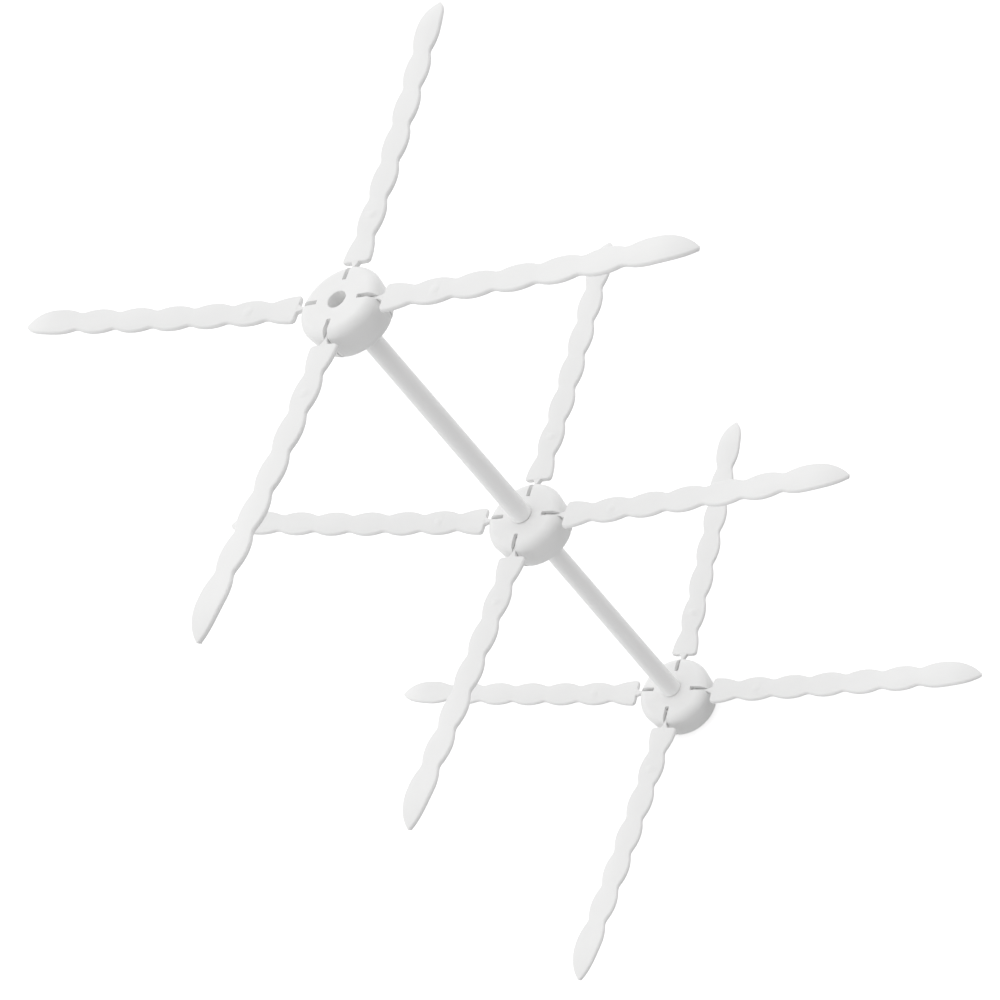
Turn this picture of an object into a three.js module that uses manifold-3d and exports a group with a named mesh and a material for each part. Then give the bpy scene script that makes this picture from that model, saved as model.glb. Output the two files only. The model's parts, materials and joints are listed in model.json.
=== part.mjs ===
// Fondant drying rack: three round hubs on a jointed pole, each with four scalloped arms that fold up.
// Lengths are millimetres and angles are degrees. +Z is up and the rack stands on z = 0.
import * as THREE from "three";
import { mergeVertices } from "three/addons/utils/BufferGeometryUtils.js";
import Module from "manifold-3d";

// Whole rack
const tierSpacing = 178.3;
const fitGap = 0.3;

// Hub: a round puck with soft edges and a slightly narrower foot
const hubRadius = 21.7;
const hubFootRadius = 20.7;
const hubHeight = 20.7;
const hubEdgeRound = 5.1;
const hubPlate = 3.2;
const bearingWall = 1.2;
const bearingBlockHalfWidth = 6.5;
const socketWall = 2.3;
const socketFloor = 1.2;
const socketRim = 0.5;
const baseFloor = 3;

// Slot that an arm's neck swings in
const slotWidth = 2.4;
const slotInnerRadius = 11.65;
const slotCornerRound = 0.6;

// Pivot of an arm, inside the hub
const pivotRadius = 13;
const pivotDrop = 4.2;
const trunnionRadius = 1.6;
const trunnionLength = 8.4;

// Angle of an arm's root above level: on its stop, and as the arms stand to the right, back, left and front,
// with a row for each tier from the bottom up
const stopAngle = -2;
const restAngles = [
  [1.5, 0.5, 0.5, 5.8],
  [2.9, -1.5, 3.8, 3.8],
  [-1.3, 1.8, 4.5, 1],
];

// Arm blade, measured along a level arm from the pole's axis
const armReach = 187;
const bladeThickness = 2.7;
const bladeEdge = 0.6;
const neckWidth = 1.8;
const neckFlareGap = 0.5;
const neckFlareHalfWidth = 2.2;
const shoulderGap = 3.1;
const shoulderHalfWidth = 8;
const shoulderRound = 1.5;
const firstWaist = 41;
const waistCount = 6;
const waistHalfWidth = 5.3;
const waistRound = 6;
const scallopPitch = 22.4;
const scallopHalfWidth = 7.4;
const leafHalfWidth = 7.5;
const leafRise = 12;
const leafFullness = 0.7;
const tipHalfWidth = 0.9;
const bowRadius = 1500;
const tipBendStart = 168;
const tipBendRadius = 43;

// Pole sections: tapered rods, thick at the foot, which stands on its hub round a narrower spigot
const poleFootRadius = 5.6;
const poleTopRadius = 5;
const spigotRadius = 4.6;

// Smoothness of round faces
const roundSteps = 28;
const poleSteps = 20;
const edgeRoundSteps = 4;
const smallRoundSteps = 12;
const outlineTolerance = 0.2;
const leafSteps = 5;

// Sizes that follow from the ones above
const pivotHeight = hubHeight - pivotDrop;
const pocketRadius = trunnionRadius + fitGap;
const bearingInnerRadius = pivotRadius - pocketRadius - bearingWall;
const cavityRadius = pivotRadius + pocketRadius + bearingWall;
const plugRadius = cavityRadius - fitGap;
const socketDepth = (hubHeight - fitGap) / 2 - socketFloor;
const topSocketRadius = spigotRadius + fitGap;
const footSocketRadius = poleTopRadius + fitGap;
const poleLength = tierSpacing - hubHeight + 2 * (socketDepth - fitGap);
const shoulderX = hubRadius + shoulderGap - pivotRadius;
const bladeStart = shoulderX + shoulderRound;
const quarter = Math.PI / 2;
const cutMargin = 5;

const wasm = await Module();
wasm.setup();

// A closed mesh as a solid that can be joined and cut
function solidOf(geometry) {
  const bare = geometry.clone();
  bare.deleteAttribute("normal");
  bare.deleteAttribute("uv");
  const merged = mergeVertices(bare, 1e-4);
  const corners = merged.index.array;
  const triangles = [];
  for (let i = 0; i < corners.length; i += 3) {
    const [a, b, c] = [corners[i], corners[i + 1], corners[i + 2]];
    if (a !== b && b !== c && c !== a) triangles.push(a, b, c);
  }
  return new wasm.Manifold(
    new wasm.Mesh({
      numProp: 3,
      vertProperties: new Float32Array(merged.attributes.position.array),
      triVerts: new Uint32Array(triangles),
    }),
  );
}

// A solid as a mesh geometry with flat-shaded faces
function geometryOf(solid) {
  const mesh = solid.getMesh();
  const geometry = new THREE.BufferGeometry();
  geometry.setAttribute("position", new THREE.BufferAttribute(mesh.vertProperties, 3));
  geometry.setIndex(new THREE.BufferAttribute(mesh.triVerts, 1));
  geometry.computeVertexNormals();
  return geometry;
}

// A profile of [radius, height] points, turned about the pole's axis
function turned(profile, steps) {
  const points = profile.map(([radius, height]) => new THREE.Vector2(radius, height));
  return new THREE.LatheGeometry(points, steps).rotateX(quarter);
}

function turnedCylinder(radius, low, high, steps) {
  return turned([[0, low], [radius, low], [radius, high], [0, high]], steps);
}

// A box that runs along +X from one radius to another, centred on the X axis
function radialBox(inner, outer, width, low, high) {
  const box = new THREE.BoxGeometry(outer - inner, width, high - low);
  return box.translate((inner + outer) / 2, 0, (low + high) / 2);
}

// Points along a round arc, close enough together to stay within the outline tolerance
function arcPoints(centreX, centreY, radius, start, end) {
  const step = 2 * Math.acos(1 - outlineTolerance / radius);
  const count = Math.ceil(Math.abs(end - start) / step);
  return new THREE.EllipseCurve(centreX, centreY, radius, radius, start, end, end < start).getPoints(count);
}

// The hub's outside profile, drawn in by an inset, from the axis at the foot to the axis at the top
function hubProfile(inset) {
  const round = hubEdgeRound - inset;
  const footCentre = hubFootRadius - hubEdgeRound;
  const topCentre = hubRadius - hubEdgeRound;
  const profile = [[0, inset]];
  for (let i = 0; i <= edgeRoundSteps; i += 1) {
    const angle = (i / edgeRoundSteps - 1) * quarter;
    profile.push([footCentre + round * Math.cos(angle), hubEdgeRound + round * Math.sin(angle)]);
  }
  for (let i = 0; i <= edgeRoundSteps; i += 1) {
    const angle = (i / edgeRoundSteps) * quarter;
    profile.push([topCentre + round * Math.cos(angle), hubHeight - hubEdgeRound + round * Math.sin(angle)]);
  }
  profile.push([0, hubHeight - inset]);
  return profile;
}

// Four copies of a geometry, one for each arm of a hub
function fourAround(geometry) {
  return [0, 1, 2, 3].map((turn) => solidOf(geometry.clone().rotateZ(turn * quarter)));
}

// Arm slot: soft-cornered at its inner end and open through the hub's flank
function slotGeometry() {
  const half = slotWidth / 2;
  const outer = hubRadius + cutMargin;
  const corner = slotInnerRadius + slotCornerRound;
  const plan = new THREE.Shape();
  plan.moveTo(outer, -half);
  plan.lineTo(outer, half);
  plan.lineTo(corner, half);
  plan.absarc(corner, half - slotCornerRound, slotCornerRound, quarter, 2 * quarter, false);
  plan.absarc(corner, slotCornerRound - half, slotCornerRound, 2 * quarter, 3 * quarter, false);
  const depth = hubHeight + 2 * cutMargin;
  const slot = new THREE.ExtrudeGeometry(plan, { depth, bevelEnabled: false, curveSegments: 1 });
  return slot.translate(0, 0, -cutMargin);
}

// Pocket for an arm's cross-bar: a round roof over straight sides that open downwards
function pocketGeometry() {
  const width = trunnionLength + 2 * fitGap;
  const section = new THREE.Shape();
  section.moveTo(pocketRadius, -pivotHeight);
  section.lineTo(pocketRadius, 0);
  section.absarc(0, 0, pocketRadius, 0, Math.PI, false);
  section.lineTo(-pocketRadius, -pivotHeight);
  const pocket = new THREE.ExtrudeGeometry(section, {
    depth: width,
    bevelEnabled: false,
    curveSegments: edgeRoundSteps,
  });
  return pocket.rotateX(quarter).translate(pivotRadius, width / 2, pivotHeight);
}

// Upper hub: outer shell with a pole socket, four arm slots and a bearing block at each slot
function hubShellGeometry() {
  const ceiling = hubHeight - hubPlate;
  const socketBottom = hubHeight - socketDepth;
  const blockBottom = pivotHeight - trunnionRadius;
  const block = radialBox(
    bearingInnerRadius,
    cavityRadius + bearingWall,
    2 * bearingBlockHalfWidth,
    blockBottom,
    ceiling + hubPlate / 2,
  );
  const boss = turnedCylinder(
    topSocketRadius + socketWall,
    socketBottom - socketFloor,
    ceiling + hubPlate / 2,
    poleSteps,
  );
  const rimRadius = topSocketRadius + socketRim;
  const socketProfile = [
    [0, socketBottom],
    [topSocketRadius, socketBottom],
    [topSocketRadius, hubHeight - socketRim],
    [rimRadius, hubHeight],
    [rimRadius, hubHeight + cutMargin],
    [0, hubHeight + cutMargin],
  ];
  const socket = turned(socketProfile, poleSteps);
  let shell = solidOf(turned(hubProfile(0), roundSteps));
  shell = shell.subtract(solidOf(turnedCylinder(cavityRadius, -cutMargin, ceiling, roundSteps)));
  for (const solid of fourAround(block)) shell = shell.add(solid);
  shell = shell.add(solidOf(boss)).subtract(solidOf(socket));
  for (const solid of fourAround(pocketGeometry())) shell = shell.subtract(solid);
  for (const solid of fourAround(slotGeometry())) shell = shell.subtract(solid);
  return geometryOf(shell);
}

// Key that fills the lower part of an arm slot, its top just under the neck of an arm on its stop
function keySolids() {
  const key = radialBox(pivotRadius, hubRadius, slotWidth - 2 * fitGap, 0, hubHeight);
  const swing = radialBox(
    -hubRadius,
    2 * hubRadius,
    2 * slotWidth,
    -bladeThickness / 2 - fitGap,
    hubHeight,
  );
  swing.rotateY(-THREE.MathUtils.degToRad(stopAngle)).translate(pivotRadius, 0, pivotHeight);
  const hubInside = solidOf(turned(hubProfile(fitGap / 2), roundSteps));
  const body = solidOf(key).subtract(solidOf(swing)).intersect(hubInside);
  const matrix = new THREE.Matrix4();
  return [0, 1, 2, 3].map((turn) => {
    const geometry = geometryOf(body).applyMatrix4(matrix.makeRotationZ(turn * quarter));
    return solidOf(geometry);
  });
}

// Lower hub: a plug with the lower pole socket, a post under each cross-bar and a key in each slot
function hubBaseGeometry() {
  const boss = turnedCylinder(footSocketRadius + socketWall, 0, socketDepth + socketFloor, poleSteps);
  const socket = turnedCylinder(footSocketRadius, -cutMargin, socketDepth, poleSteps);
  const postTop = pivotHeight - trunnionRadius - fitGap;
  const postHalf = pocketRadius - fitGap;
  const post = radialBox(pivotRadius - postHalf, pivotRadius + postHalf, trunnionLength, 0, postTop);
  let base = solidOf(turnedCylinder(plugRadius, 0, baseFloor, roundSteps));
  for (const solid of fourAround(post)) base = base.add(solid);
  for (const solid of keySolids()) base = base.add(solid);
  base = base.add(solidOf(boss)).subtract(solidOf(socket));
  return geometryOf(base);
}

// Peaks and waists of a blade's edge, from its shoulder to its leaf
function edgeKnots() {
  const knots = [{ x: bladeStart, half: shoulderHalfWidth, waist: false }];
  for (let i = 0; i < waistCount; i += 1) {
    const x = firstWaist - pivotRadius + i * scallopPitch;
    const last = i === waistCount - 1;
    knots.push({ x, half: waistHalfWidth, waist: true });
    knots.push({
      x: x + (last ? leafRise : scallopPitch / 2),
      half: last ? leafHalfWidth : scallopHalfWidth,
      waist: false,
    });
  }
  return knots;
}

// The waves of a blade's edge: a tight inward arc at each waist and a long outward arc at each peak
function wavePoints(knots) {
  const runs = knots.slice(1).map((knot, i) => knot.x - knots[i].x);
  const turns = runs.map((run, i) => 2 * Math.atan(Math.abs(knots[i + 1].half - knots[i].half) / run));
  const points = [];
  knots.forEach((knot, i) => {
    const before = turns[i - 1] ?? 0;
    const after = turns[i] ?? 0;
    if (knot.waist) {
      const centre = knot.half + waistRound;
      points.push(...arcPoints(knot.x, centre, waistRound, -quarter - before, -quarter + after).slice(1));
    } else {
      const bulgeRound = (runs[i] ?? runs[i - 1]) / Math.sin(after || before) - waistRound;
      const centre = knot.half - bulgeRound;
      points.push(...arcPoints(knot.x, centre, bulgeRound, quarter + before, quarter - after).slice(1));
    }
  });
  return points;
}

// Stations along the blade from its shoulder to its tip: x along the arm, y the half-width there
function bladeStations() {
  const knots = edgeKnots();
  const corner = knots[0];
  const leaf = knots[knots.length - 1];
  const tip = armReach - pivotRadius;
  const leafCurve = new THREE.QuadraticBezierCurve(
    new THREE.Vector2(leaf.x, leaf.half),
    new THREE.Vector2(leaf.x + leafFullness * (tip - leaf.x), leaf.half),
    new THREE.Vector2(tip, tipHalfWidth),
  );
  return [
    ...arcPoints(corner.x, shoulderHalfWidth - shoulderRound, shoulderRound, Math.PI, quarter),
    ...wavePoints(knots),
    ...leafCurve.getPoints(leafSteps).slice(1),
  ];
}

// Section of the blade, eight-sided with softened edges, as [across, up] points
function bladeSection(halfWidth) {
  const up = bladeThickness / 2;
  const inner = halfWidth - bladeEdge;
  const side = up - bladeEdge;
  return [
    [halfWidth, -side],
    [halfWidth, side],
    [inner, up],
    [-inner, up],
    [-halfWidth, side],
    [-halfWidth, -side],
    [-inner, -up],
    [inner, -up],
  ];
}

// Height and downward tilt of the blade's middle line: a gentle upward bow, then a downward curl at the tip
function bladeCurve(x) {
  const bow = Math.asin(Math.max(0, x - bladeStart) / bowRadius);
  const curl = Math.asin(Math.max(0, x - (tipBendStart - pivotRadius)) / tipBendRadius);
  const height = bowRadius * (1 - Math.cos(bow)) - tipBendRadius * (1 - Math.cos(curl));
  return { height, tilt: curl - bow };
}

// Blade: a loft through its stations along the bowed middle line
function bladeGeometry() {
  const stations = bladeStations();
  const positions = [];
  const triangles = [];
  const sides = bladeSection(0).length;
  for (const station of stations) {
    const { height, tilt } = bladeCurve(station.x);
    for (const [across, up] of bladeSection(station.y)) {
      positions.push(station.x + up * Math.sin(tilt), across, up * Math.cos(tilt) + height);
    }
  }
  const last = (stations.length - 1) * sides;
  for (let start = 0; start < last; start += sides) {
    for (let i = 0; i < sides; i += 1) {
      const next = (i + 1) % sides;
      triangles.push(start + i, start + sides + next, start + sides + i);
      triangles.push(start + i, start + next, start + sides + next);
    }
  }
  for (let i = 1; i < sides - 1; i += 1) {
    triangles.push(0, i + 1, i);
    triangles.push(last, last + i, last + i + 1);
  }
  const blade = new THREE.BufferGeometry();
  blade.setAttribute("position", new THREE.Float32BufferAttribute(positions, 3));
  blade.setIndex(triangles);
  return blade;
}

// Neck: a flat bar from the pivot that widens outside the hub and runs a little way into the blade
function neckGeometry() {
  const half = neckWidth / 2;
  const flareStart = hubRadius + neckFlareGap - pivotRadius;
  const plan = new THREE.Shape();
  plan.moveTo(0, -half);
  plan.lineTo(flareStart, -half);
  plan.lineTo(shoulderX, -neckFlareHalfWidth);
  plan.lineTo(bladeStart, -neckFlareHalfWidth);
  plan.lineTo(bladeStart, neckFlareHalfWidth);
  plan.lineTo(shoulderX, neckFlareHalfWidth);
  plan.lineTo(flareStart, half);
  plan.lineTo(0, half);
  const neck = new THREE.ExtrudeGeometry(plan, { depth: bladeThickness, bevelEnabled: false });
  return neck.translate(0, 0, -bladeThickness / 2);
}

// Arm about its pivot: blade, neck and the cross-bar that it turns on
function armGeometry() {
  const crossBar = new THREE.CylinderGeometry(trunnionRadius, trunnionRadius, trunnionLength, smallRoundSteps);
  const arm = solidOf(bladeGeometry()).add(solidOf(neckGeometry())).add(solidOf(crossBar));
  return geometryOf(arm);
}

// Pole section: from the socket in the hub below to the socket in the hub above
function poleGeometry() {
  const profile = [
    [0, 0],
    [spigotRadius, 0],
    [spigotRadius, socketDepth],
    [poleFootRadius, socketDepth],
    [poleTopRadius, poleLength],
    [0, poleLength],
  ];
  return turned(profile, poleSteps);
}

function whitePlastic() {
  return new THREE.MeshStandardMaterial({ color: 0xf1f1ef, roughness: 0.45, metalness: 0 });
}

function addPiece(parent, name, geometry) {
  const mesh = new THREE.Mesh(geometry, whitePlastic());
  mesh.name = name;
  parent.add(mesh);
  return mesh;
}

// The rack: three tiers, each a hub with four arms, and a pole section between each two tiers
const rack = new THREE.Group();
const shellGeometry = hubShellGeometry();
const baseGeometry = hubBaseGeometry();
const arm = armGeometry();
const pole = poleGeometry();
const tiers = ["bottom", "middle", "top"];
const directions = ["right", "back", "left", "front"];

tiers.forEach((tier, level) => {
  const hub = new THREE.Group();
  hub.position.z = level * tierSpacing;
  rack.add(hub);
  addPiece(hub, `hub_shell_${tier}`, shellGeometry);
  addPiece(hub, `hub_base_${tier}`, baseGeometry);
  directions.forEach((direction, turn) => {
    const side = new THREE.Group();
    side.rotation.z = turn * quarter;
    hub.add(side);
    const mesh = addPiece(side, `arm_${tier}_${direction}`, arm);
    mesh.position.set(pivotRadius, 0, pivotHeight);
    mesh.rotation.y = -THREE.MathUtils.degToRad(restAngles[level][turn]);
  });
});

["lower", "upper"].forEach((name, level) => {
  const mesh = addPiece(rack, `pole_${name}`, pole);
  mesh.position.z = level * tierSpacing + hubHeight - socketDepth + fitGap;
});

export default rack;
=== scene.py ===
"""Looks of the fondant drying rack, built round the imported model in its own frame."""
import json
import math

import bmesh
import bpy
from mathutils import Matrix, Vector


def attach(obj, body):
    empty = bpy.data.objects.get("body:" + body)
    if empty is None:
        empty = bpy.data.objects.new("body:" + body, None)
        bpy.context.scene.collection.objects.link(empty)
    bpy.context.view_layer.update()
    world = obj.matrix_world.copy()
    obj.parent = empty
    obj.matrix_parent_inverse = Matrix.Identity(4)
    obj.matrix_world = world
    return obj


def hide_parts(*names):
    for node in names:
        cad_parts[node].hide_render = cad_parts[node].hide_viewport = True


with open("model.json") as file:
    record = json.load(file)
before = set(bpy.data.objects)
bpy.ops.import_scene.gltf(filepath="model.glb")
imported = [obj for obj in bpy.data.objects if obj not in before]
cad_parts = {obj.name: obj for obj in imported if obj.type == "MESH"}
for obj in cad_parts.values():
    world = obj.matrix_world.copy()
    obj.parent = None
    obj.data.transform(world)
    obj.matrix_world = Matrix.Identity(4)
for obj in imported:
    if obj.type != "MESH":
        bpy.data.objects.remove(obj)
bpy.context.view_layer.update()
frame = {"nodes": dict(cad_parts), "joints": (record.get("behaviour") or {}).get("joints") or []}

MM = 0.001

# The rack's sizes and counts as in the part's source, in millimetres and degrees
TIER_SPACING = 178.3
ARMS_PER_HUB = 4
FIT_GAP = 0.3
HUB_RADIUS = 21.7
HUB_FOOT_RADIUS = 20.7
HUB_HEIGHT = 20.7
HUB_EDGE_ROUND = 5.1
HUB_PLATE = 3.2
BEARING_WALL = 1.2
BLOCK_HALF_WIDTH = 6.5
SOCKET_WALL = 2.3
SOCKET_FLOOR = 1.2
SOCKET_RIM = 0.5
BASE_FLOOR = 3.0
SLOT_WIDTH = 2.4
SLOT_INNER = 11.65
SLOT_CORNER = 0.6
PIVOT_RADIUS = 13.0
PIVOT_DROP = 4.2
TRUNNION_RADIUS = 1.6
TRUNNION_LENGTH = 8.4
STOP_LIFT = -2.0
ARM_REACH = 187.0
BLADE_THICKNESS = 2.7
NECK_WIDTH = 1.8
NECK_FLARE_GAP = 0.5
NECK_FLARE_HALF = 2.2
SHOULDER_GAP = 3.1
SHOULDER_HALF = 8.0
SHOULDER_ROUND = 1.5
FIRST_WAIST = 41.0
WAIST_COUNT = 6
WAIST_HALF = 5.3
WAIST_ROUND = 6.0
SCALLOP_PITCH = 22.4
SCALLOP_HALF = 7.4
LEAF_HALF = 7.5
LEAF_RISE = 12.0
LEAF_FULLNESS = 0.7
TIP_HALF = 0.9
BOW_RADIUS = 1500.0
BEND_START = 168.0
BEND_RADIUS = 43.0
POLE_FOOT = 5.6
POLE_TOP = 5.0
SPIGOT_RADIUS = 4.6

# Sizes that follow
PIVOT_HEIGHT = HUB_HEIGHT - PIVOT_DROP
POCKET_RADIUS = TRUNNION_RADIUS + FIT_GAP
BEARING_INNER = PIVOT_RADIUS - POCKET_RADIUS - BEARING_WALL
CAVITY_RADIUS = PIVOT_RADIUS + POCKET_RADIUS + BEARING_WALL
PLUG_RADIUS = CAVITY_RADIUS - FIT_GAP
SOCKET_DEPTH = (HUB_HEIGHT - FIT_GAP) / 2 - SOCKET_FLOOR
TOP_SOCKET = SPIGOT_RADIUS + FIT_GAP
FOOT_SOCKET = POLE_TOP + FIT_GAP
POLE_LENGTH = TIER_SPACING - HUB_HEIGHT + 2 * (SOCKET_DEPTH - FIT_GAP)
SHOULDER_X = HUB_RADIUS + SHOULDER_GAP - PIVOT_RADIUS
BLADE_START = SHOULDER_X + SHOULDER_ROUND
CEILING = HUB_HEIGHT - HUB_PLATE
SOCKET_BOTTOM = HUB_HEIGHT - SOCKET_DEPTH
QUARTER = math.pi / 2
MARGIN = 5.0

# Values that only the looks have: lengths in millimetres, and shares of a width or a round
TOP_RING_INSET = 1.0
SMALL_ROUND = 0.4
EDGE_ROUND = 1.05
EDGE_SHARE = 0.8
NECK_INSET = 0.04
NECK_EDGE = 0.3
ROOT_CAP_LENGTH = 0.2
ROOT_CAP_INSET = 0.3
ROOT_CAP_EDGE = 0.6
TIP_CAP_LENGTH = 0.25
TIP_CAP_WIDTH = 0.75
TIP_CAP_THICKNESS = 0.8
TIP_CAP_EDGE = 0.6
GATE_RADIUS = 53.0
GATE_HALF_WIDTH = 2.8
GATE_RISE = 0.45
GATE_SINK = 0.02
SHARP_ANGLE = math.radians(34)

# How finely curves are divided: steps along an arc in millimetres, then counts
HUB_FOOT_STEP = 0.6
HUB_TOP_STEP = 0.45
SMALL_STEP = 0.15
POCKET_STEP = 0.5
SLOT_STEP = 0.2
SHOULDER_STEP = 0.3
WAVE_STEP = 0.8
CROSS_BAR_STEP = 0.4
HUB_STEPS = 112
POLE_STEPS = 80
LEAF_STEPS = 32
EDGE_STEPS = 3
GATE_STEPS = 28
GATE_LEVELS = 7
GATE_CLOSING = 6.4  # the level at which the rings of a gate mark would meet

# Distances that count as none, in millimetres
WELD_DISTANCE = 1e-4
ON_AXIS = 1e-6


# Mesh helpers


def arc(cx, cy, radius, start, end, step):
    """Points of a round arc, about one step apart."""
    count = max(2, math.ceil(abs(end - start) * radius / step))
    angles = [start + (end - start) * i / count for i in range(count + 1)]
    return [(cx + radius * math.cos(a), cy + radius * math.sin(a)) for a in angles]


def circle(radius, count):
    """Points of a full circle about the origin."""
    angles = [2 * math.pi * i / count for i in range(count)]
    return [(radius * math.cos(a), radius * math.sin(a)) for a in angles]


def mesh_of(name, build):
    """A mesh in millimetres from a function that fills a bmesh."""
    bm = bmesh.new()
    build(bm)
    bmesh.ops.remove_doubles(bm, verts=bm.verts, dist=WELD_DISTANCE)
    bmesh.ops.recalc_face_normals(bm, faces=bm.faces)
    mesh = bpy.data.meshes.new(name)
    bm.to_mesh(mesh)
    bm.free()
    return mesh


def finished(mesh):
    """The mesh in metres, with its round faces shaded smooth."""
    mesh.transform(Matrix.Scale(MM, 4))
    mesh.polygons.foreach_set("use_smooth", [True] * len(mesh.polygons))
    mesh.set_sharp_from_angle(angle=SHARP_ANGLE)
    return mesh


def place(name, mesh, matrix=Matrix.Identity(4)):
    """A new object in the scene."""
    obj = bpy.data.objects.new(name, mesh)
    obj.matrix_world = matrix
    bpy.context.scene.collection.objects.link(obj)
    return obj


def loft(bm, rings):
    """A closed tube through rings of points, capped at both ends."""
    rows = [[bm.verts.new(p) for p in ring] for ring in rings]
    for low, high in zip(rows, rows[1:]):
        for i in range(len(low)):
            j = (i + 1) % len(low)
            bm.faces.new((low[i], low[j], high[j], high[i]))
    bm.faces.new(rows[0][::-1])
    bm.faces.new(rows[-1])


def turn(bm, profile, steps):
    """A closed profile of (radius, height) points, turned about Z."""
    rings = []
    for radius, height in profile:
        if radius < ON_AXIS:
            rings.append([bm.verts.new((0, 0, height))])
            continue
        points = circle(radius, steps)
        rings.append([bm.verts.new((x, y, height)) for x, y in points])
    for ring, other in zip(rings, rings[1:] + rings[:1]):
        if len(ring) == 1 and len(other) == 1:
            continue
        for i in range(steps):
            j = (i + 1) % steps
            near = [ring[i % len(ring)], ring[j % len(ring)]]
            far = [other[j % len(other)], other[i % len(other)]]
            bm.faces.new(list(dict.fromkeys(near + far)))


def prism(bm, outline, low, high, place_point):
    """An outline of (u, v) points, pushed through from low to high."""
    loft(bm, [[place_point(u, v, w) for u, v in outline] for w in (low, high)])


def four_around(build):
    """A builder that repeats another one at each of a hub's four arms."""

    def built(bm):
        for side in range(ARMS_PER_HUB):
            part = bmesh.new()
            build(part)
            rotation = Matrix.Rotation(side * QUARTER, 3, "Z")
            bmesh.ops.rotate(part, verts=part.verts, cent=(0, 0, 0), matrix=rotation)
            mesh = bpy.data.meshes.new("part")
            part.to_mesh(mesh)
            part.free()
            bm.from_mesh(mesh)
            bpy.data.meshes.remove(mesh)

    return built


def joined(base, operation, build):
    """The mesh of base after a solid is added to it or cut from it."""
    target = place("target", base)
    tool = place("tool", mesh_of("tool", build))
    step = target.modifiers.new("step", "BOOLEAN")
    step.operation = operation
    step.solver = "FAST"
    step.object = tool
    depsgraph = bpy.context.evaluated_depsgraph_get()
    result = bpy.data.meshes.new_from_object(target.evaluated_get(depsgraph))
    bpy.data.objects.remove(target)
    bpy.data.objects.remove(tool)
    return result


# Shapes


def hub_profile(low, high):
    """Right-hand side of the hub's outline, from its foot to its top."""
    foot = HUB_FOOT_RADIUS - HUB_EDGE_ROUND
    top = HUB_RADIUS - HUB_EDGE_ROUND
    return [
        *arc(foot, low + HUB_EDGE_ROUND, HUB_EDGE_ROUND, -QUARTER, 0, HUB_FOOT_STEP),
        *arc(top, high - HUB_EDGE_ROUND, HUB_EDGE_ROUND, 0, QUARTER, HUB_TOP_STEP),
    ]


def shell_body(bm):
    """Hollow puck with the upper socket in its middle."""
    rim_x = TOP_SOCKET + SOCKET_RIM
    rim_z = HUB_HEIGHT - SOCKET_RIM
    boss = TOP_SOCKET + SOCKET_WALL
    profile = [
        (CAVITY_RADIUS, 0),
        *hub_profile(0, HUB_HEIGHT),
        (SLOT_INNER - TOP_RING_INSET, HUB_HEIGHT),
        *arc(rim_x, rim_z, SOCKET_RIM, QUARTER, 2 * QUARTER, SMALL_STEP),
        (TOP_SOCKET, SOCKET_BOTTOM),
        (0, SOCKET_BOTTOM),
        (0, SOCKET_BOTTOM - SOCKET_FLOOR),
        (boss, SOCKET_BOTTOM - SOCKET_FLOOR),
        (boss, CEILING),
        (CAVITY_RADIUS, CEILING),
    ]
    turn(bm, profile, HUB_STEPS)


def bearing_block(bm):
    """Block under the hub's top that an arm's cross-bar turns in."""
    half = BLOCK_HALF_WIDTH
    outline = [(BEARING_INNER, -half), (CAVITY_RADIUS + BEARING_WALL, -half)]
    outline += [(u, -v) for u, v in reversed(outline)]
    low = PIVOT_HEIGHT - TRUNNION_RADIUS
    prism(bm, outline, low, CEILING + HUB_PLATE / 2, lambda u, v, w: (u, v, w))


def pocket(bm):
    """Room for a cross-bar, open below so that it can be put in."""
    half = TRUNNION_LENGTH / 2 + FIT_GAP
    roof = arc(PIVOT_RADIUS, PIVOT_HEIGHT, POCKET_RADIUS, 0, math.pi, POCKET_STEP)
    outline = [(PIVOT_RADIUS + POCKET_RADIUS, 0), *roof, (PIVOT_RADIUS - POCKET_RADIUS, 0)]
    prism(bm, outline, -half, half, lambda u, v, w: (u, w, v))


def slot(bm):
    """Radial slot for an arm's neck, out through the flank."""
    half = SLOT_WIDTH / 2
    near = SLOT_INNER + SLOT_CORNER
    corner = arc(near, half - SLOT_CORNER, SLOT_CORNER, QUARTER, 2 * QUARTER, SLOT_STEP)
    outline = [(HUB_RADIUS + MARGIN, half), *corner]
    outline += [(u, -v) for u, v in reversed(outline)]
    prism(bm, outline, -MARGIN, HUB_HEIGHT + MARGIN, lambda u, v, w: (u, v, w))


def hub_shell():
    mesh = mesh_of("hub_shell", shell_body)
    mesh = joined(mesh, "UNION", four_around(bearing_block))
    mesh = joined(mesh, "DIFFERENCE", four_around(pocket))
    mesh = joined(mesh, "DIFFERENCE", four_around(slot))
    return finished(mesh)


def key(bm):
    """Bar that fills the lower part of an arm slot, up to the neck of an arm on its stop."""
    stop = math.radians(STOP_LIFT)
    top = PIVOT_HEIGHT - (BLADE_THICKNESS / 2 + FIT_GAP) / math.cos(stop)
    end = top + (HUB_RADIUS - PIVOT_RADIUS) * math.tan(stop)
    inset = FIT_GAP / 2
    foot = [(r - inset, z) for r, z in hub_profile(inset, HUB_HEIGHT) if z < end]
    rise = (end - foot[-1][1]) / (HUB_HEIGHT - HUB_EDGE_ROUND - foot[-1][1])
    flank = foot[-1][0] + rise * (HUB_RADIUS - HUB_FOOT_RADIUS)
    outline = [(PIVOT_RADIUS, inset), *foot, (flank, end), (PIVOT_RADIUS, top)]
    half = SLOT_WIDTH / 2 - FIT_GAP
    prism(bm, outline, -half, half, lambda u, v, w: (u, w, v))


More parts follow.
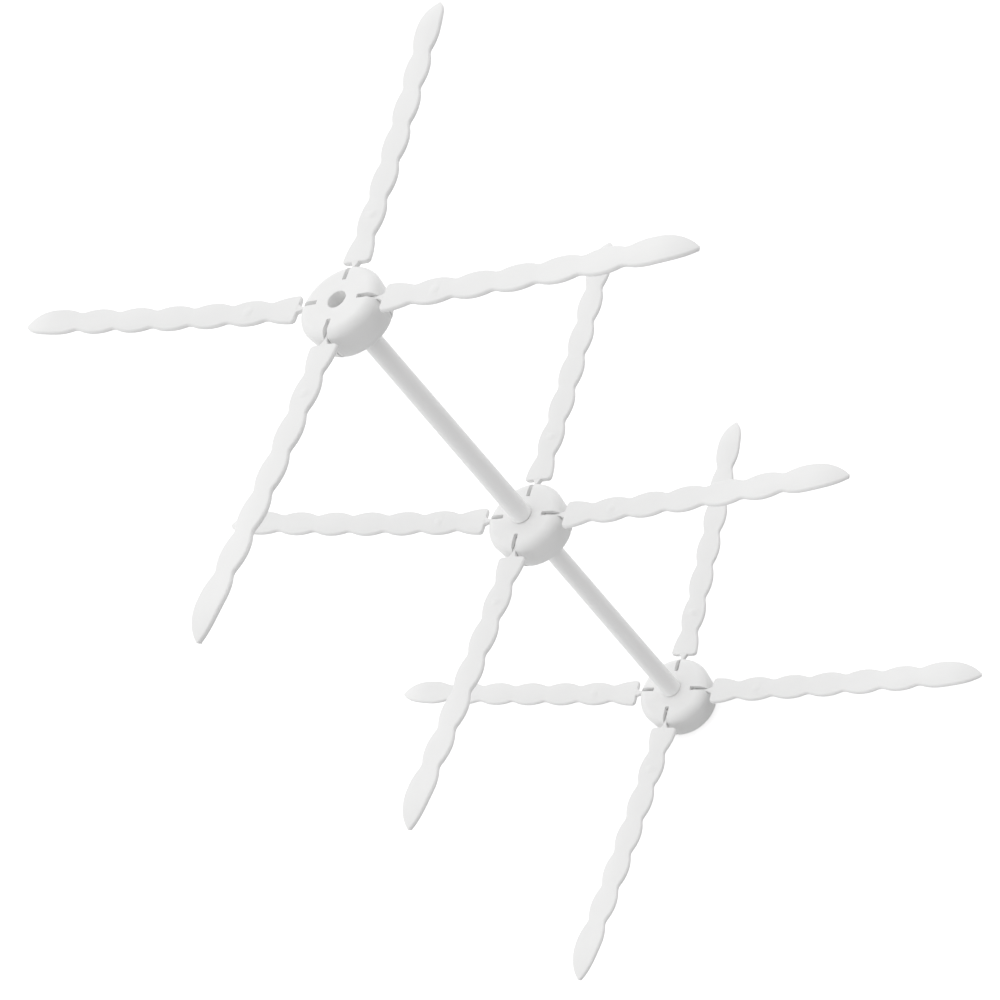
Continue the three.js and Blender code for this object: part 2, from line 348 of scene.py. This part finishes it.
def post(bm):
    """Post that holds a cross-bar in its pocket from below."""
    half = TRUNNION_LENGTH / 2
    thick = POCKET_RADIUS - FIT_GAP
    outline = [(PIVOT_RADIUS - thick, -half), (PIVOT_RADIUS + thick, -half)]
    outline += [(u, -v) for u, v in reversed(outline)]
    high = PIVOT_HEIGHT - TRUNNION_RADIUS - FIT_GAP
    prism(bm, outline, BASE_FLOOR / 2, high, lambda u, v, w: (u, v, w))


def base_body(bm):
    """Plug with the lower socket in its middle."""
    boss = FOOT_SOCKET + SOCKET_WALL
    rim_x = FOOT_SOCKET + SMALL_ROUND
    edge_x = PLUG_RADIUS - SMALL_ROUND
    profile = [
        *arc(rim_x, SMALL_ROUND, SMALL_ROUND, 2 * QUARTER, 3 * QUARTER, SMALL_STEP),
        *arc(edge_x, SMALL_ROUND, SMALL_ROUND, -QUARTER, 0, SMALL_STEP),
        (PLUG_RADIUS, BASE_FLOOR),
        (boss, BASE_FLOOR),
        (boss, SOCKET_DEPTH + SOCKET_FLOOR),
        (0, SOCKET_DEPTH + SOCKET_FLOOR),
        (0, SOCKET_DEPTH),
        (FOOT_SOCKET, SOCKET_DEPTH),
    ]
    turn(bm, profile, HUB_STEPS)


def hub_base():
    mesh = mesh_of("hub_base", base_body)
    mesh = joined(mesh, "UNION", four_around(post))
    mesh = joined(mesh, "UNION", four_around(key))
    return finished(mesh)


def edge_knots():
    """(x, half-width, whether it is a waist) at each waist and peak of the blade's edge."""
    knots = [(BLADE_START, SHOULDER_HALF, False)]
    for i in range(WAIST_COUNT):
        x = FIRST_WAIST - PIVOT_RADIUS + i * SCALLOP_PITCH
        knots.append((x, WAIST_HALF, True))
        if i < WAIST_COUNT - 1:
            knots.append((x + SCALLOP_PITCH / 2, SCALLOP_HALF, False))
        else:
            knots.append((x + LEAF_RISE, LEAF_HALF, False))
    return knots


def wave_points(knots):
    """The blade's wavy edge: a tight inward arc at each waist, a long outward arc at each peak."""
    runs = [b[0] - a[0] for a, b in zip(knots, knots[1:])]
    turns = [2 * math.atan(abs(b[1] - a[1]) / run) for a, b, run in zip(knots, knots[1:], runs)]
    points = []
    for i, (x, half, waist) in enumerate(knots):
        before = turns[i - 1] if i > 0 else 0
        after = turns[i] if i < len(turns) else 0
        if waist:
            start, end = -QUARTER - before, -QUARTER + after
            points += arc(x, half + WAIST_ROUND, WAIST_ROUND, start, end, WAVE_STEP)[1:]
            continue
        run = runs[i] if i < len(runs) else runs[i - 1]
        bulge = run / math.sin(after or before) - WAIST_ROUND
        start, end = QUARTER + before, QUARTER - after
        points += arc(x, half - bulge, bulge, start, end, WAVE_STEP)[1:]
    return points


def blade_stations():
    """(x, half-width) along the blade from its shoulder to its tip."""
    knots = edge_knots()
    leaf_x, leaf_half, _ = knots[-1]
    tip = ARM_REACH - PIVOT_RADIUS
    corner = SHOULDER_HALF - SHOULDER_ROUND
    stations = arc(BLADE_START, corner, SHOULDER_ROUND, math.pi, QUARTER, SHOULDER_STEP)
    stations += wave_points(knots)
    for i in range(1, LEAF_STEPS + 1):
        t = i / LEAF_STEPS
        x = leaf_x + (2 * t * (1 - t) * LEAF_FULLNESS + t * t) * (tip - leaf_x)
        stations.append((x, leaf_half + t * t * (TIP_HALF - leaf_half)))
    return stations


def rounded_section(half, up, edge):
    """Points of a flat section with round edges, as (across, height)."""
    points = []
    for corner in range(4):
        across = (half - edge) * (1 if corner in (0, 3) else -1)
        height = (up - edge) * (1 if corner < 2 else -1)
        start = corner * QUARTER
        points += arc(across, height, edge, start, start + QUARTER, edge / EDGE_STEPS)
    return points


def blade_curve(x):
    """Height and downward tilt of the blade's middle line, which bows up and then curls down."""
    bow = math.asin(max(0, x - BLADE_START) / BOW_RADIUS)
    curl = math.asin(max(0, x - (BEND_START - PIVOT_RADIUS)) / BEND_RADIUS)
    height = BOW_RADIUS * (1 - math.cos(bow)) - BEND_RADIUS * (1 - math.cos(curl))
    return height, curl - bow


def blade(bm):
    """Wavy blade with round edges, from a narrower section at its shoulder to one at its tip."""
    up = BLADE_THICKNESS / 2
    stations = blade_stations()
    root_x, root_half = stations[0]
    tip_x, tip_half = stations[-1]
    root_cap = (
        root_x - ROOT_CAP_LENGTH,
        root_half - ROOT_CAP_INSET,
        up - ROOT_CAP_INSET,
        EDGE_ROUND * ROOT_CAP_EDGE,
    )
    tip_cap = (
        tip_x + TIP_CAP_LENGTH,
        tip_half * TIP_CAP_WIDTH,
        up * TIP_CAP_THICKNESS,
        tip_half * TIP_CAP_EDGE,
    )
    body = [(x, half, up, min(EDGE_ROUND, EDGE_SHARE * half)) for x, half in stations]
    rings = []
    for x, half, thick, edge in [root_cap, *body, tip_cap]:
        height, tilt = blade_curve(x)
        ring = rounded_section(half, thick, edge)
        rings.append([(x + v * math.sin(tilt), u, v * math.cos(tilt) + height) for u, v in ring])
    loft(bm, rings)


def neck(bm):
    """Bar from the pivot to the blade, wider outside the hub."""
    flare = HUB_RADIUS + NECK_FLARE_GAP - PIVOT_RADIUS
    thick = BLADE_THICKNESS / 2 - NECK_INSET
    slim = rounded_section(NECK_WIDTH / 2, thick, NECK_EDGE)
    wide = rounded_section(NECK_FLARE_HALF, thick, NECK_EDGE)
    stations = [(0, slim), (flare, slim), (SHOULDER_X, wide), (BLADE_START, wide)]
    loft(bm, [[(x, u, v) for u, v in ring] for x, ring in stations])


def cross_bar(bm):
    """Round bar across the arm's inner end, which it turns on."""
    half = TRUNNION_LENGTH / 2
    bar = arc(0, 0, TRUNNION_RADIUS, 0, 2 * math.pi, CROSS_BAR_STEP)[:-1]
    prism(bm, bar, -half, half, lambda u, v, w: (u, w, v))


def gate_mark(bm):
    """Low dome on top of the blade where the mould was filled."""
    x = GATE_RADIUS - PIVOT_RADIUS
    ball = (GATE_HALF_WIDTH**2 + GATE_RISE**2) / (2 * GATE_RISE)
    reach = math.asin(GATE_HALF_WIDTH / ball)
    rings = []
    for level in range(GATE_LEVELS):
        angle = reach * (1 - level / GATE_CLOSING)
        radius = ball * math.sin(angle)
        rise = BLADE_THICKNESS / 2 - GATE_SINK + ball * (math.cos(angle) - math.cos(reach))
        ring = [(x + u, v) for u, v in circle(radius, GATE_STEPS)]
        rings.append([(u, v, blade_curve(u)[0] + rise) for u, v in ring])
    loft(bm, rings)


def arm_mesh():
    mesh = mesh_of("arm", blade)
    for build in (neck, cross_bar, gate_mark):
        mesh = joined(mesh, "UNION", build)
    return finished(mesh)


def pole_body(bm):
    """Tapered rod with a spigot at its foot."""

    def edge(radius, height, start):
        return arc(radius - SMALL_ROUND, height, SMALL_ROUND, start, start + QUARTER, SMALL_STEP)

    profile = [
        (0, 0),
        *edge(SPIGOT_RADIUS, SMALL_ROUND, -QUARTER),
        (SPIGOT_RADIUS, SOCKET_DEPTH),
        *edge(POLE_FOOT, SOCKET_DEPTH + SMALL_ROUND, -QUARTER),
        *edge(POLE_TOP, POLE_LENGTH - SMALL_ROUND, 0),
        (0, POLE_LENGTH),
    ]
    turn(bm, profile, POLE_STEPS)


def pole_mesh():
    return finished(mesh_of("pole", pole_body))


# Materials: scales of the noise are per metre, and heights of the bumps are in metres

PLASTIC_IOR = 1.49
PLASTIC_SPECULAR = 0.42
CLOUD = {"Scale": 38.0, "Detail": 4.0, "Roughness": 0.55, "Distortion": 0.6}
CLOUD_RANGE = (0.32, 0.68)
GLOSS = {"Scale": 90.0, "Detail": 3.0, "Roughness": 0.6}
GLOSS_SPREAD = 0.07
GRAIN = {"Scale": 2600.0, "Detail": 2.0, "Roughness": 0.5}
GRAIN_BUMP = {"Strength": 0.12, "Distance": 0.00005}
RIPPLE = {"Scale": 120.0, "Detail": 1.0}
RIPPLE_BUMP = {"Strength": 0.1, "Distance": 0.0003}
EVEN_FLOW = (1, 1, 1)
ARM_FLOW = (0.35, 1, 1)
POLE_FLOW = (1, 1, 0.25)


def node(tree, kind, **values):
    """A new shader node, with its inputs or settings given by name."""
    made = tree.nodes.new(kind)
    for name, value in values.items():
        if name in made.inputs:
            made.inputs[name].default_value = value
        else:
            setattr(made, name, value)
    return made


def moulded_plastic(name, light, dark, roughness, flow):
    """White moulded plastic: faint clouds along the flow, fine mould grain and uneven gloss."""
    material = bpy.data.materials.new(name)
    material.use_nodes = True
    tree = material.node_tree
    shader = tree.nodes["Principled BSDF"]
    shader.inputs["IOR"].default_value = PLASTIC_IOR
    shader.inputs["Specular IOR Level"].default_value = PLASTIC_SPECULAR
    coords = node(tree, "ShaderNodeTexCoord")
    stretch = node(tree, "ShaderNodeMapping", Scale=flow)
    tree.links.new(coords.outputs["Object"], stretch.inputs["Vector"])

    clouds = node(tree, "ShaderNodeTexNoise", **CLOUD)
    tree.links.new(stretch.outputs["Vector"], clouds.inputs["Vector"])
    tint = node(tree, "ShaderNodeValToRGB")
    for stop, position, colour in zip(tint.color_ramp.elements, CLOUD_RANGE, (dark, light)):
        stop.position = position
        stop.color = (*colour, 1)
    tree.links.new(clouds.outputs["Fac"], tint.inputs["Fac"])
    tree.links.new(tint.outputs["Color"], shader.inputs["Base Color"])

    gloss = node(tree, "ShaderNodeTexNoise", **GLOSS)
    tree.links.new(stretch.outputs["Vector"], gloss.inputs["Vector"])
    spread = node(tree, "ShaderNodeMapRange")
    spread.inputs["To Min"].default_value = roughness - GLOSS_SPREAD
    spread.inputs["To Max"].default_value = roughness + GLOSS_SPREAD
    tree.links.new(gloss.outputs["Fac"], spread.inputs["Value"])
    tree.links.new(spread.outputs["Result"], shader.inputs["Roughness"])

    grain = node(tree, "ShaderNodeTexNoise", **GRAIN)
    tree.links.new(coords.outputs["Object"], grain.inputs["Vector"])
    ripple = node(tree, "ShaderNodeTexNoise", **RIPPLE)
    tree.links.new(stretch.outputs["Vector"], ripple.inputs["Vector"])
    fine = node(tree, "ShaderNodeBump", **GRAIN_BUMP)
    tree.links.new(grain.outputs["Fac"], fine.inputs["Height"])
    broad = node(tree, "ShaderNodeBump", **RIPPLE_BUMP)
    tree.links.new(ripple.outputs["Fac"], broad.inputs["Height"])
    tree.links.new(fine.outputs["Normal"], broad.inputs["Normal"])
    tree.links.new(broad.outputs["Normal"], shader.inputs["Normal"])
    return material


hub_white = moulded_plastic(
    "hub_white", light=(0.865, 0.865, 0.862), dark=(0.835, 0.835, 0.832), roughness=0.44, flow=EVEN_FLOW
)
# Painted shade: the arms are the hub's white plastic, with the colour made a little darker to stand in for
# how light falls on them
arm_white_painted_shade = moulded_plastic(
    "arm_white_painted_shade", light=(0.85, 0.85, 0.847), dark=(0.822, 0.822, 0.819), roughness=0.42, flow=ARM_FLOW
)
# Painted light: the pole is the hub's white plastic, with the colour made lighter to stand in for the
# light that falls on it
pole_white_painted_light = moulded_plastic(
    "pole_white_painted_light", light=(0.94, 0.94, 0.938), dark=(0.92, 0.92, 0.917), roughness=0.4, flow=POLE_FLOW
)


# Pieces


def dress(obj, material, body, node_name):
    """Gives a piece its material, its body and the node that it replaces."""
    if not obj.data.materials:
        obj.data.materials.append(material)
    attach(obj, body)
    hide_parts(node_name)


BODIES = {"bottom": "foot", "middle": "middle", "top": "top"}
TIERS = list(BODIES)
shell = hub_shell()
base = hub_base()
arm = arm_mesh()
pole = pole_mesh()

for level, tier in enumerate(TIERS):
    up = Matrix.Translation((0, 0, level * TIER_SPACING * MM))
    body = BODIES[tier]
    dress(place(f"shell_{tier}", shell, up), hub_white, body, f"hub_shell_{tier}")
    dress(place(f"plug_{tier}", base, up), hub_white, body, f"hub_base_{tier}")

for joint in frame["joints"]:
    if not joint["name"].endswith("_fold"):
        continue
    heading = math.atan2(joint["axis"][0], -joint["axis"][1])
    lift = math.radians(STOP_LIFT - joint["range_deg"][0])
    stance = Matrix.Rotation(heading, 4, "Z") @ Matrix.Rotation(-lift, 4, "Y")
    at = Matrix.Translation(joint["pos_m"]) @ stance
    child = joint["child"]
    dress(place(child.replace("arm_", "blade_"), arm, at), arm_white_painted_shade, child, child)

for level, name in enumerate(("lower", "upper")):
    low = (level * TIER_SPACING + HUB_HEIGHT - SOCKET_DEPTH + FIT_GAP) * MM
    rod = place(f"rod_{name}", pole, Matrix.Translation((0, 0, low)))
    dress(rod, pole_white_painted_light, BODIES[TIERS[level]], f"pole_{name}")

for obj in frame["nodes"].values():
    obj.data.materials.clear()
    obj.data.materials.append(hub_white)


# Stage: the floor's lengths are in millimetres, and those of the lamp and the camera's place are in metres

FLOOR_RADIUS = 12000.0
FLOOR_SEGMENTS = 96
FLOOR_DROP = 0.5
FLOOR_GREY = 0.56
FLOOR_GLOW = 0.68
FLOOR_ROUGHNESS = 0.9
HORIZON_LIGHT = 1.25
ZENITH_LIGHT = 0.97
DIM_SIDE = (0.85, -0.53, 0)
DIM_START = 0.58
DIM_FULL = 0.95
DIM_LEVEL = 0.0
LAMP_POSITION = (-2.4, -1.2, 6.0)
LAMP_TARGET = (0, 0, 0.19)
LAMP_SIZE = 3.5
LAMP_POWER = 12
CAMERA_LENS = 76.94
CAMERA_SENSOR = 36
CAMERA_POSITION = (0.5949, -0.5549, 0.9465)
CAMERA_TURN_DEG = (40.125, 29.159, 17.216)


def seen_directly(tree):
    """An output that is 1 for camera, glossy and transmission rays and 0 for others."""
    path = node(tree, "ShaderNodeLightPath")
    shown = node(tree, "ShaderNodeMath", operation="MAXIMUM")
    tree.links.new(path.outputs["Is Camera Ray"], shown.inputs[0])
    tree.links.new(path.outputs["Is Glossy Ray"], shown.inputs[1])
    seen = node(tree, "ShaderNodeMath", operation="MAXIMUM")
    tree.links.new(shown.outputs[0], seen.inputs[0])
    tree.links.new(path.outputs["Is Transmission Ray"], seen.inputs[1])
    return seen.outputs[0]


def white_floor():
    """Pale floor that looks white and still takes the rack's soft shadow."""
    material = bpy.data.materials.new("floor_white")
    material.use_nodes = True
    tree = material.node_tree
    shader = tree.nodes["Principled BSDF"]
    shader.inputs["Roughness"].default_value = FLOOR_ROUGHNESS
    shader.inputs["Specular IOR Level"].default_value = 0.0
    shader.inputs["Base Color"].default_value = (FLOOR_GREY, FLOOR_GREY, FLOOR_GREY, 1)
    glow = node(tree, "ShaderNodeMath", operation="MULTIPLY")
    glow.inputs[1].default_value = FLOOR_GLOW
    tree.links.new(seen_directly(tree), glow.inputs[0])
    shader.inputs["Emission Color"].default_value = (1, 1, 1, 1)
    tree.links.new(glow.outputs[0], shader.inputs["Emission Strength"])
    return material


def disc(bm):
    """The floor's round outline, filled."""
    bmesh.ops.create_circle(bm, cap_ends=True, segments=FLOOR_SEGMENTS, radius=FLOOR_RADIUS)


below = Matrix.Translation((0, 0, -FLOOR_DROP * MM))
floor = place("floor", finished(mesh_of("floor", disc)), below)
floor.data.materials.append(white_floor())

# Soft studio light: one broad lamp, and a pale dome that is a little brighter near the horizon and dark on
# the viewer's side, somewhat to the right. Rays that show the background itself see plain white.
world = bpy.data.worlds.new("studio")
world.use_nodes = True
bpy.context.scene.world = world
sky = world.node_tree
backdrop = sky.nodes["Background"]
backdrop.inputs["Color"].default_value = (1, 1, 1, 1)

direction = node(sky, "ShaderNodeTexCoord")
parts = node(sky, "ShaderNodeSeparateXYZ")
sky.links.new(direction.outputs["Generated"], parts.inputs[0])
height = node(sky, "ShaderNodeMapRange")
height.inputs["To Min"].default_value = HORIZON_LIGHT
height.inputs["To Max"].default_value = ZENITH_LIGHT
sky.links.new(parts.outputs["Z"], height.inputs["Value"])
facing = node(sky, "ShaderNodeVectorMath", operation="DOT_PRODUCT")
facing.inputs[1].default_value = DIM_SIDE
sky.links.new(direction.outputs["Generated"], facing.inputs[0])
dimmer = node(sky, "ShaderNodeMapRange", interpolation_type="SMOOTHSTEP")
dimmer.inputs["From Min"].default_value = DIM_START
dimmer.inputs["From Max"].default_value = DIM_FULL
dimmer.inputs["To Min"].default_value = 1.0
dimmer.inputs["To Max"].default_value = DIM_LEVEL
sky.links.new(facing.outputs["Value"], dimmer.inputs["Value"])
dome = node(sky, "ShaderNodeMath", operation="MULTIPLY")
sky.links.new(height.outputs["Result"], dome.inputs[0])
sky.links.new(dimmer.outputs["Result"], dome.inputs[1])

strength = node(sky, "ShaderNodeMix", data_type="FLOAT")
strength.inputs["B"].default_value = 1.0
sky.links.new(seen_directly(sky), strength.inputs["Factor"])
sky.links.new(dome.outputs[0], strength.inputs["A"])
sky.links.new(strength.outputs["Result"], backdrop.inputs["Strength"])

lamp = bpy.data.objects.new("overhead", bpy.data.lights.new("overhead", "AREA"))
lamp.data.shape = "DISK"
lamp.data.size = LAMP_SIZE
lamp.data.energy = LAMP_POWER
lamp.location = LAMP_POSITION
toward = Vector(LAMP_TARGET) - Vector(LAMP_POSITION)
lamp.rotation_euler = toward.to_track_quat("-Z", "Y").to_euler()
bpy.context.scene.collection.objects.link(lamp)

# The photograph's own view of the rack
camera = bpy.data.objects.new("camera", bpy.data.cameras.new("camera"))
camera.data.lens = CAMERA_LENS
camera.data.sensor_width = CAMERA_SENSOR
camera.location = CAMERA_POSITION
camera.rotation_euler = [math.radians(a) for a in CAMERA_TURN_DEG]
bpy.context.scene.collection.objects.link(camera)
bpy.context.scene.camera = camera

bpy.context.scene.view_settings.view_transform = "Standard"
